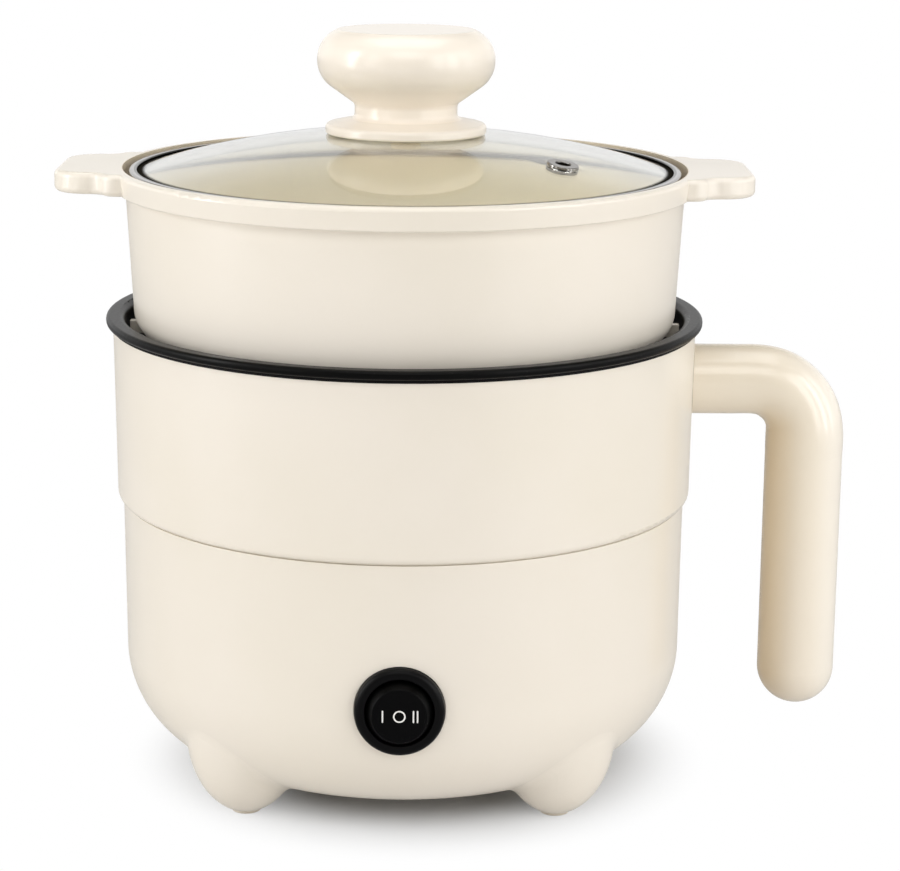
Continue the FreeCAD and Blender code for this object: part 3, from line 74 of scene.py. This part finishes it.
class Finish:
    # One material's node tree
    def __init__(self, name):
        self.material = bpy.data.materials.new(name)
        self.material.use_nodes = True
        self.tree = self.material.node_tree
        self.tree.nodes.clear()
        self.place = self.node("ShaderNodeTexCoord", output="Object")
        self.facing = self.node("ShaderNodeTexCoord", output="Normal")

    def node(self, kind, settings=None, inputs=None, output=0):
        # Any node: its settings come first, then the values or links of its sockets
        made = self.tree.nodes.new(kind)
        for name, value in (settings or {}).items():
            setattr(made, name, value)
        for name, value in (inputs or {}).items():
            if isinstance(value, Signal):
                self.tree.links.new(value.socket, made.inputs[name])
            else:
                made.inputs[name].default_value = value
        return Signal(self, made.outputs[output]) if made.outputs else None

    def stretched(self, scale):
        # The place on the piece, stretched by a factor for each axis
        return self.node("ShaderNodeMapping", inputs={"Vector": self.place, "Scale": scale})

    def noise(self, pattern, where=None):
        # A pattern is a scale per metre and a detail
        perMetre, detail = pattern
        inputs = {"Vector": where or self.place, "Scale": perMetre, "Detail": detail}
        return self.node("ShaderNodeTexNoise", inputs=inputs)

    def ramp(self, value, low, high):
        # 0 below the low value, 1 above the high one, smooth between them
        inputs = {"Value": value, "From Min": low, "From Max": high}
        return self.node("ShaderNodeMapRange", {"interpolation_type": "SMOOTHSTEP"}, inputs)

    def vectorMaths(self, operation, *vectors, output="Vector"):
        inputs = dict(enumerate(vectors))
        return self.node("ShaderNodeVectorMath", {"operation": operation}, inputs, output)

    def fromAxis(self, across=(1.0, 1.0, 0.0), through=(0.0, 0.0, 0.0)):
        # Distance from the axis through a point; it runs along the direction whose factor is 0
        away = [-factor * part for factor, part in zip(across, through)]
        inputs = {"Vector": self.place, "Location": away, "Scale": across}
        level = self.node("ShaderNodeMapping", inputs=inputs)
        return self.vectorMaths("LENGTH", level, output="Value")

    def part(self, vector, axis):
        return self.node("ShaderNodeSeparateXYZ", inputs={0: vector}, output=axis)

    def mixed(self, share, first, second, kind="RGBA"):
        one, two, output = mixSockets[kind]
        inputs = {0: share, one: first, two: second}
        return self.node("ShaderNodeMix", {"data_type": kind}, inputs, output)

    def drifting(self, look, *patterns):
        # The look's roughness, carried up and down by patterns whose own middle is a half
        roughness = look["roughness"]
        for pattern in patterns:
            roughness = roughness + (pattern - 0.5) * look["drift"]
        return roughness

    def bump(self, height, depth, onto=None):
        inputs = {"Height": height, "Distance": depth}
        if onto:
            inputs["Normal"] = onto
        return self.node("ShaderNodeBump", inputs=inputs)

    def upright(self, foot):
        # Outer surfaces below a height are lit as if they still stood upright round the axis
        level = self.vectorMaths("MULTIPLY", self.place, (1.0, 1.0, 0.0))
        outward = self.vectorMaths("NORMALIZE", level)
        along = self.vectorMaths("DOT_PRODUCT", self.facing, outward, output="Value")
        below = 1 - self.ramp(self.part(self.place, "Z"), *foot["heights"])
        weight = self.ramp(along, *foot["facing"]) * below * foot["share"]
        bent = self.mixed(weight, self.facing, outward, "VECTOR")
        return self.vectorMaths("NORMALIZE", bent)

    def shade(self, **inputs):
        # The finished surface; the keywords are the shader's own sockets
        sockets = {name.replace("_", " "): value for name, value in inputs.items()}
        shader = self.node("ShaderNodeBsdfPrincipled", inputs=sockets)
        self.node("ShaderNodeOutputMaterial", inputs={"Surface": shader})
        return self.material


def colour(red, green, blue):
    # A colour as it is seen on a screen, 0 to 255, made linear by the screen's own curve
    def linear(value):
        share = value / 255
        return share / 12.92 if share <= 0.04045 else ((share + 0.055) / 1.055) ** 2.4
    return (linear(red), linear(green), linear(blue), 1.0)


def paint(material, *names):
    # A CAD node keeps its mesh and gets the finish
    for name in names:
        slots = nodes[name].data.materials
        slots.clear()
        slots.append(material)


def named(part):
    # The nodes whose names hold this part
    return [name for name in nodes if part in name]


def mouldedPlastic(name, look):
    # Satin moulding: faint cloudy tone, a roughness that drifts, and a skin of very fine grain
    finish = Finish(name)
    clouds = finish.noise(look["clouds"])
    grain = finish.noise(look["grain"])
    tone = finish.mixed(finish.ramp(clouds, *look["cloudEdges"]), look["dark"], look["pale"])
    if "skirt" in look:  # painted shade of the groove: another, darker tone beyond a radius, on a piece that faces the front
        skirt = look["skirt"]
        outward = finish.fromAxis((1.0, 0.0, 1.0), skirt["middle"])
        tone = finish.mixed(finish.ramp(outward, *skirt["radii"]), tone, skirt["tone"])
    if "recess" in look:  # painted warm shade inside the hollow that seats the lid
        recess = look["recess"]
        above = finish.ramp(finish.part(finish.place, "Z"), *recess["heights"])
        within = above * (1 - finish.ramp(finish.fromAxis(), *recess["radii"]))
        tone = finish.mixed(within, tone, recess["tone"])
    if "inner" in look:  # painted shade, warmer and darker where it faces the kettle, and painted light, paler where it faces away
        inner, outer = look["inner"], look["outer"]
        side = finish.part(finish.facing, "X")
        tone = finish.mixed(finish.ramp(side, *inner["facing"]), inner["tone"], tone)
        tone = finish.mixed(finish.ramp(side, *outer["facing"]), tone, outer["tone"])
    bent = finish.upright(look["foot"]) if "foot" in look else None
    return finish.shade(
        Base_Color=tone,
        Roughness=finish.drifting(look, clouds),
        Normal=finish.bump(grain, look["grainDepth"], bent),
        Coat_Weight=look["coat"],
        Coat_Roughness=look["coatRoughness"],
        Specular_IOR_Level=look["gloss"],
        IOR=look["ior"],
    )


def coatedMetal(name, look):
    # Sprayed non-stick coating: dark, with pale specks and a pebbled skin
    finish = Finish(name)
    pebbles = finish.noise(look["pebbles"])
    specks = finish.ramp(finish.noise(look["specks"]), *look["speckEdges"])
    return finish.shade(
        Base_Color=finish.mixed(specks, look["dark"], look["speck"]),
        Roughness=finish.drifting(look, pebbles),
        Normal=finish.bump(pebbles, look["depth"]),
        Specular_IOR_Level=look["gloss"],
    )


def turnedSteel(name, look, joint=None):
    # Steel polished while it turned about the vertical axis: fine rings, seen in tone and roughness.
    # A dark line of painted shade along the rim's edge nearest the glass lies inside the first radius
    # and is gone at the second
    finish = Finish(name)
    rings = finish.noise(look["rings"], finish.stretched(look["ringStretch"]))
    smears = finish.noise(look["smears"])
    steel = finish.mixed(rings, look["dark"], look["pale"])
    if joint:
        steel = finish.mixed(finish.ramp(finish.fromAxis(), *joint), look["seal"], steel)
    return finish.shade(
        Base_Color=steel,
        Metallic=1.0,
        Roughness=finish.drifting(look, smears, rings),
        Normal=finish.bump(rings, look["depth"]),
    )


def plainMetal(name, look):
    # Pressed, cast or plated metal with a mottled skin
    finish = Finish(name)
    mottle = finish.noise(look["mottle"])
    return finish.shade(
        Base_Color=finish.mixed(finish.ramp(mottle, *look["mottleEdges"]), look["dark"], look["pale"]),
        Metallic=look["metallic"],
        Roughness=finish.drifting(look, mottle),
        Normal=finish.bump(mottle, look["depth"]),
    )


def clearGlass(name, look):
    # Tempered glass with a faint tint and a few soft smears; light passes straight through to what is
    # inside. A dark line of painted shade, under the steel rim, runs round its edge
    finish = Finish(name)
    smears = finish.ramp(finish.noise(look["smears"]), *look["smearEdges"])
    streaks = finish.noise(look["streaks"], finish.stretched(look["streakStretch"]))
    tint = finish.mixed(finish.ramp(streaks, *look["streakEdges"]), look["tint"], look["streak"])
    glass = finish.node("ShaderNodeBsdfPrincipled", inputs={
        "Base Color": tint, "Roughness": smears * look["haze"], "IOR": look["ior"],
        "Transmission Weight": 1.0,
    })
    clear = finish.node("ShaderNodeBsdfTransparent", inputs={"Color": look["shade"]})
    shadow = finish.node("ShaderNodeLightPath", output="Is Shadow Ray")
    both = finish.node("ShaderNodeMixShader", inputs={0: shadow, 1: glass, 2: clear})
    bond = finish.node("ShaderNodeBsdfDiffuse", inputs={"Color": look["bond"]})
    edge = finish.ramp(finish.fromAxis(), *look["bondRadii"])
    whole = finish.node("ShaderNodeMixShader", inputs={0: edge, 1: both, 2: bond})
    finish.node("ShaderNodeOutputMaterial", inputs={"Surface": whole})
    return finish.material


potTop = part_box("inner_pot")[1].z
rimLow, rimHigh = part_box("lid_rim")
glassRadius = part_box("lid_glass")[1].x
rockerMiddle = sum(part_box("rocker"), Vector()) / 2

shellLook = {
    "pale": colour(243, 236, 225), "dark": colour(240, 233, 220), "roughness": 0.26, "drift": 0.05,
    "clouds": (14.0, 3.0), "cloudEdges": (0.3, 0.7), "grain": (2600.0, 2.0), "grainDepth": 0.000005,
    "coat": 0.0, "coatRoughness": 0.2, "gloss": 0.9, "ior": 1.5,
}
steamerLook = dict(
    shellLook, pale=colour(245, 238, 227), dark=colour(242, 235, 222),
    foot={"heights": (potTop + 0.0005, potTop + 0.0025), "facing": (0.1, 0.5), "share": 0.75},
    # painted warm shade in the hollow that seats the lid, above a height and within a radius
    recess={
        "heights": (rimLow.z - 0.0010, rimLow.z - 0.0003),
        "radii": (rimHigh.x + 0.0017, rimHigh.x + 0.0021),
        "tone": colour(245, 232, 210),
    },
)
knobLook = dict(
    shellLook, pale=colour(253, 245, 233), dark=colour(251, 242, 229), roughness=0.22, gloss=0.65,
)
handleLook = dict(
    shellLook, pale=colour(245, 235, 219), dark=colour(242, 232, 214), roughness=0.22,
    # painted shade on the side that faces the kettle, painted light on the side that faces away
    inner={"facing": (-1.0, 0.1), "tone": colour(225, 207, 178)},
    outer={"facing": (0.0, 0.8), "tone": colour(248, 241, 229)},
)
coverLook = dict(
    shellLook, pale=colour(226, 216, 199), dark=colour(219, 208, 190), roughness=0.55,
    grain=(1400.0, 2.0), grainDepth=0.00006,
)
padLook = dict(
    shellLook, pale=colour(238, 229, 214), dark=colour(231, 221, 204), roughness=0.6,
    grainDepth=0.00004,
)
siliconeLook = dict(
    shellLook, pale=colour(14, 14, 14), dark=colour(9, 9, 9), roughness=0.5, gloss=0.12,
)
bezelLook = dict(
    shellLook, pale=colour(8, 8, 9), dark=colour(5, 5, 6), roughness=0.34, gloss=0.13,
    grainDepth=0.000008,
)
rockerLook = dict(
    bezelLook, pale=colour(7, 7, 8), dark=colour(5, 5, 6), roughness=0.36, gloss=0.07,
    grain=(3200.0, 2.0), grainDepth=0.00002,
    # painted shade in the groove round the rocker's face: near black beyond a radius
    skirt={"middle": rockerMiddle, "radii": (0.0077, 0.0080), "tone": colour(1, 1, 1)},
)
inletLook = dict(
    bezelLook, pale=colour(32, 32, 32), dark=colour(25, 25, 25), roughness=0.5, gloss=0.5,
    grainDepth=0.00003,
)
fuseLook = dict(
    shellLook, pale=colour(236, 230, 216), dark=colour(226, 218, 200), roughness=0.3, coat=0.5,
)
markLook = dict(shellLook, pale=colour(245, 245, 243), dark=colour(236, 236, 234), roughness=0.45)
potLook = {
    "dark": colour(4, 4, 4), "speck": colour(26, 26, 25), "roughness": 0.33, "drift": 0.12,
    "gloss": 0.12, "pebbles": (1100.0, 3.0), "specks": (1500.0, 1.0), "speckEdges": (0.70, 0.76),
    "depth": 0.00003,
}
rimLook = {
    "dark": colour(128, 126, 124), "pale": colour(176, 174, 172), "roughness": 0.18, "drift": 0.1,
    "rings": (2600.0, 2.0), "ringStretch": (0.004, 0.004, 1.0), "smears": (60.0, 4.0),
    # the last tone here is painted shade, for a dark line along the rim's edge by the glass
    "depth": 0.000006, "seal": colour(30, 28, 25),
}
# radii of that painted shade line on the steel rim
sealedJoint = (rimHigh.x - 0.0019, rimHigh.x - 0.0014)
metalLook = {
    "dark": colour(178, 178, 176), "pale": colour(206, 206, 204), "metallic": 1.0,
    "roughness": 0.35, "drift": 0.15, "mottle": (240.0, 4.0), "mottleEdges": (0.25, 0.75),
    "depth": 0.00002,
}
castLook = dict(
    metalLook, dark=colour(168, 168, 166), pale=colour(192, 192, 190), roughness=0.5,
    mottle=(420.0, 4.0), depth=0.00008,
)
elementLook = dict(metalLook, dark=colour(92, 84, 74), pale=colour(132, 126, 118), roughness=0.45)
screwLook = dict(
    metalLook, dark=colour(166, 164, 160), pale=colour(196, 194, 190), roughness=0.3,
    mottle=(700.0, 4.0),
)
brassLook = dict(metalLook, dark=colour(186, 152, 88), pale=colour(214, 182, 116), roughness=0.28)
glassLook = {
    "tint": (0.80, 0.79, 0.735, 1.0), "streak": (0.87, 0.87, 0.825, 1.0),
    "streaks": (14.0, 2.0), "streakStretch": (1.0, 2.5, 1.0), "streakEdges": (0.42, 0.62),
    "smears": (45.0, 3.0), "smearEdges": (0.45, 0.8), "haze": 0.03, "ior": 1.5,
    # the last two entries are painted shade: a dark line round the glass's edge under the steel rim, its
    # tone and radii
    "shade": (0.99, 0.985, 0.86, 1.0), "bond": colour(40, 38, 33),
    "bondRadii": (glassRadius - 0.0041, glassRadius - 0.0028),
}

shellPlastic = mouldedPlastic("shellPlastic", shellLook)
paint(shellPlastic, "lower_shell", "upper_shell")
paint(mouldedPlastic("handlePlastic", handleLook), "handle_front_half", "handle_rear_half")
paint(mouldedPlastic("steamerPlastic", steamerLook), "steamer")
paint(mouldedPlastic("knobPlastic", knobLook), "knob", "knob_washer", "knob_screw")
paint(mouldedPlastic("coverPlastic", coverLook), "base_cover")
paint(mouldedPlastic("padRubber", padLook), *named("foot_pad_"))
paint(mouldedPlastic("silicone", siliconeLook), "rim_seal", "knob_gasket")
paint(mouldedPlastic("bezelPlastic", bezelLook), "switch_body")
paint(mouldedPlastic("rockerPlastic", rockerLook), "rocker")
paint(mouldedPlastic("inletPlastic", inletLook), "power_inlet")
paint(mouldedPlastic("fuseCase", fuseLook), "thermal_fuse")
paint(coatedMetal("potCoating", potLook), "inner_pot")
paint(turnedSteel("rimSteel", rimLook, sealedJoint), "lid_rim")
paint(turnedSteel("eyeletSteel", rimLook), "vent_eyelet")
paint(plainMetal("sheetSteel", metalLook), "heat_shield", "handle_bracket", "thermostat")
paint(plainMetal("castAluminium", castLook), "heater_plate")
paint(plainMetal("elementSteel", elementLook), "heating_tube")
paint(plainMetal("screwSteel", screwLook), *named("_screw_"))
paint(plainMetal("contactBrass", brassLook), *named("inlet_pin_"), *named("switch_terminal_"))
paint(clearGlass("clearGlass", glassLook), "lid_glass")
print("finishes on", len(nodes), "nodes")


def turns(count):
    # Angles spread evenly over one full turn
    return np.linspace(0, 2 * np.pi, count, endpoint=False)


def pieceFromGrid(name, points, material, body, ring=False):
    # Points in a grid whose second direction closes on itself. The first closes too where the piece is
    # a ring, and otherwise has an end face each way
    rows, columns = points.shape[:2]
    index = np.arange(rows * columns).reshape(rows, columns)
    ahead = np.roll(index, -1, 0)
    faces = np.stack([index, np.roll(index, -1, 1), np.roll(ahead, -1, 1), ahead], -1)
    faces = faces if ring else faces[:-1]
    ends = [] if ring else [index[0][::-1].tolist(), index[-1].tolist()]
    mesh = bpy.data.meshes.new(name)
    mesh.from_pydata(points.reshape(-1, 3).tolist(), [], faces.reshape(-1, 4).tolist() + ends)
    mesh.materials.append(material)
    mesh.shade_smooth()
    made = bpy.data.objects.new(name, mesh)
    bpy.context.scene.collection.objects.link(made)
    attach(made, body)


def wireRing(middle, across, up, radius, wire, steps):
    # A circle in the plane of two directions carries an oval round itself: the middle, plus outward the
    # radius and a half width times the cosine, plus along the axis the other half width times the sine
    around, turn = turns(steps[0])[:, None, None], turns(steps[1])[None, :, None]
    outward = np.cos(around) * np.array(across) + np.sin(around) * np.array(up)
    along = np.cross(across, up)
    return middle + (radius + wire[0] * np.cos(turn)) * outward + wire[1] * np.sin(turn) * along


marks = {
    "height": 0.0036, "stroke": 0.00042, "thick": 0.00007, "ring": 0.00346,
    "one": -0.0046, "two": (0.00386, 0.00498),
    "barSteps": 25, "blunt": 16, "tip": 0.0004, "ringSteps": 64, "sides": 16,
}


def printedBar(middle):
    # A straight stroke: a flat oval carried upwards, drawn in to nothing at both ends
    along = np.linspace(-1, 1, marks["barSteps"])[:, None]
    turn = turns(marks["sides"])[None, :]
    taper = np.sqrt(np.clip(1 - np.abs(along) ** marks["blunt"], marks["tip"], 1))
    x = middle.x + marks["stroke"] / 2 * taper * np.cos(turn)
    y = middle.y - marks["thick"] * taper * np.sin(turn)
    z = middle.z + marks["height"] / 2 * along + 0 * turn
    return np.stack([x, y, z], -1)


def switchMarks():
    # Plain position marks printed on the rocker: one bar, a ring and two bars
    middle = Vector((rockerMiddle.x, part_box("rocker")[0].y, rockerMiddle.z))
    material = mouldedPlastic("markPrint", markLook)
    left, right = marks["two"]
    bars = {"mark_one": marks["one"], "mark_two_left": left, "mark_two_right": right}
    for name, across in bars.items():
        bar = printedBar(middle + Vector((across, 0.0, 0.0)))
        pieceFromGrid(name, bar, material, "switch_rocker")
    half = marks["stroke"] / 2
    ring = wireRing(
        np.array(middle), (1, 0, 0), (0, 0, 1), marks["ring"] / 2 - half, (half, marks["thick"]),
        (marks["ringSteps"], marks["sides"]),
    )
    pieceFromGrid("mark_off", ring, material, "switch_rocker", ring=True)


switchMarks()
print("switch marks on the rocker")

seam = {"inward": 0.00075, "below": 0.00016, "wire": 0.00019, "steps": (240, 10)}


def seamBead():
    # A lip of the same plastic that closes the gap between the shells, a ring just under the upper one
    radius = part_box("lower_shell")[1].x - seam["inward"]
    middle = np.array((0.0, 0.0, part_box("upper_shell")[0].z - seam["below"]))
    bead = wireRing(middle, (1, 0, 0), (0, 1, 0), radius, (seam["wire"], seam["wire"]), seam["steps"])
    pieceFromGrid("seam_bead", bead, shellPlastic, "kettle", ring=True)


seamBead()
print("bead in the seam")

view = {
    "lens": 106.0, "sensor": 36.0, "clip": (0.01, 50.0),
    "place": Vector((0.0081, -0.7739, 0.2856)),
    "target": Vector((0.0, 0.0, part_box("rim_seal")[1].z)),  # middle of the underside of the pot's ring
    "targetPixel": (404.9, 319.0),  # where the photograph shows that middle
    "image": (900, 871),
    "roll": math.radians(0.34),
}


def makeCamera():
    # Looks at the target, rolls, then turns until the target falls on its pixel
    focal = view["lens"] / view["sensor"] * view["image"][0]
    ahead = (view["target"] - view["place"]).normalized()
    across = ahead.cross(Vector((0.0, 0.0, 1.0))).normalized()
    level = Matrix((across, ahead.cross(across), ahead))
    roll = Matrix.Rotation(view["roll"], 3, "Z")
    shift = [(pixel - size / 2) / focal for pixel, size in zip(view["targetPixel"], view["image"])]
    turn = Vector((0.0, 0.0, 1.0)).rotation_difference(Vector((*shift, 1.0))).to_matrix()
    rows = turn @ roll @ level
    data = bpy.data.cameras.new("photoCamera")
    data.lens = view["lens"]
    data.sensor_width = view["sensor"]
    data.clip_start, data.clip_end = view["clip"]
    camera = bpy.data.objects.new("photoCamera", data)
    columns = Matrix((rows[0], -rows[1], -rows[2])).transposed()
    camera.matrix_world = Matrix.Translation(view["place"]) @ columns.to_4x4()
    bpy.context.scene.collection.objects.link(camera)
    bpy.context.scene.camera = camera


makeCamera()
print("camera at", tuple(view["place"]))

studio = {
    "floorSize": 6.0, "floorColour": (0.68, 0.70, 0.73), "floorGlow": (0.85, 0.84, 0.83, 1.0),
    "floorGrain": (90.0, 2.0), "floorLift": 1.01,
    "shadowReach": (0.045, 0.090), "shadowMiddle": (0.004, 0.004, 0.0),
    "domeTint": (1.0, 0.92, 0.79, 1.0), "dome": 0.20, "backdrop": 1.0, "mirroredWall": 1.0,
    "mirroredFloor": 0.5, "behind": (-0.25, 0.25), "upper": (0.28, 0.60),
    "aim": (0.0, 0.0, 0.12),
}
softboxes = {  # direction from the camera's side, degrees to the right and up; metres; watts
    "leftInner": {"turn": -45, "rise": 12, "away": 1.25, "size": (0.34, 1.20), "watts": 2.2},
    "leftBox": {"turn": -74, "rise": 12, "away": 1.25, "size": (0.26, 1.20), "watts": 7.2},
    "leftEdge": {"turn": -88, "rise": 12, "away": 1.25, "size": (0.26, 1.20), "watts": 1.2},
    "rightInner": {"turn": 42, "rise": 12, "away": 1.25, "size": (0.34, 1.20), "watts": 3.6},
    "rightBox": {"turn": 64, "rise": 12, "away": 1.25, "size": (0.26, 1.20), "watts": 4.0},
    "rightEdge": {"turn": 86, "rise": 12, "away": 1.25, "size": (0.26, 1.20), "watts": 2.3},
    "frontBox": {"turn": 0, "rise": 40, "away": 1.90, "size": (1.20, 0.80), "watts": 5.9},
    "topBox": {"turn": 0, "rise": 90, "away": 1.30, "size": (1.20, 1.00), "watts": 7.2},
}


def rays(tree, *kinds):
    # 1 for the rays of these kinds, such as what the camera sees in metal or through glass, else 0
    found = [tree.node("ShaderNodeLightPath", output=f"Is {kind} Ray") for kind in kinds]
    return functools.reduce(Signal.larger, found)


def makeFloor():
    # Takes the shadow near the object and fades to plain white, which is dimmer in reflections
    half = studio["floorSize"] / 2
    corners = [(-half, -half, 0), (half, -half, 0), (half, half, 0), (-half, half, 0)]
    mesh = bpy.data.meshes.new("floor")
    mesh.from_pydata(corners, [], [(0, 1, 2, 3)])
    finish = Finish("floorPaint")
    grain = finish.noise(studio["floorGrain"])
    pale = (*studio["floorColour"], 1.0)
    paler = (*(part * studio["floorLift"] for part in studio["floorColour"]), 1.0)
    seen = rays(finish, "Camera", "Glossy", "Transmission")
    tone = finish.mixed(seen, studio["floorGlow"], finish.mixed(grain, pale, paler))
    near = finish.node("ShaderNodeBsdfDiffuse", inputs={"Color": tone})
    glow = 1 - rays(finish, "Glossy") * (1 - studio["mirroredFloor"])
    far = finish.node("ShaderNodeEmission", inputs={"Strength": glow})
    fade = finish.ramp(finish.fromAxis(through=studio["shadowMiddle"]), *studio["shadowReach"]) * seen
    both = finish.node("ShaderNodeMixShader", inputs={0: fade, 1: near, 2: far})
    finish.node("ShaderNodeOutputMaterial", inputs={"Surface": both})
    mesh.materials.append(finish.material)
    floor = bpy.data.objects.new("floor", mesh)
    bpy.context.scene.collection.objects.link(floor)


class Sky(Finish):
    # The world's own node tree, written like a material's
    def __init__(self):
        self.world = bpy.data.worlds.new("studioWorld")
        self.world.use_nodes = True
        self.tree = self.world.node_tree
        self.tree.nodes.clear()
        self.place = self.node("ShaderNodeTexCoord", output="Generated")


def makeWorld():
    # White where it is seen, and in reflections from behind the object; the light that it gives is faint
    sky = Sky()
    behind = rays(sky, "Glossy") * sky.ramp(sky.part(sky.place, "Y"), *studio["behind"])
    behind = behind * (1 - sky.ramp(sky.part(sky.place, "Z"), *studio["upper"]))
    seen = rays(sky, "Camera", "Transmission").larger(behind * studio["mirroredWall"])
    strength = studio["dome"] * (1 - seen) + seen * studio["backdrop"]
    tint = sky.mixed(seen, studio["domeTint"], (1.0, 1.0, 1.0, 1.0))
    light = sky.node("ShaderNodeBackground", inputs={"Color": tint, "Strength": strength})
    sky.node("ShaderNodeOutputWorld", inputs={"Surface": light})
    bpy.context.scene.world = sky.world


def makeLights():
    # Each softbox hangs away from the aim, in its own direction, and faces it
    for name, box in softboxes.items():
        turn, rise = math.radians(box["turn"]), math.radians(box["rise"])
        level = math.cos(rise)
        toLamp = Vector((level * math.sin(turn), -level * math.cos(turn), math.sin(rise)))
        lamp = bpy.data.lights.new(name, "AREA")
        lamp.shape = "RECTANGLE"
        lamp.size, lamp.size_y = box["size"]
        lamp.energy = box["watts"]
        made = bpy.data.objects.new(name, lamp)
        made.location = Vector(studio["aim"]) + toLamp * box["away"]
        made.rotation_euler = (-toLamp).to_track_quat("-Z", "Y").to_euler()
        bpy.context.scene.collection.objects.link(made)


makeFloor()
makeWorld()
makeLights()
bpy.context.scene.view_settings.view_transform = "Standard"
print("studio: floor, world and", len(softboxes), "softboxes")
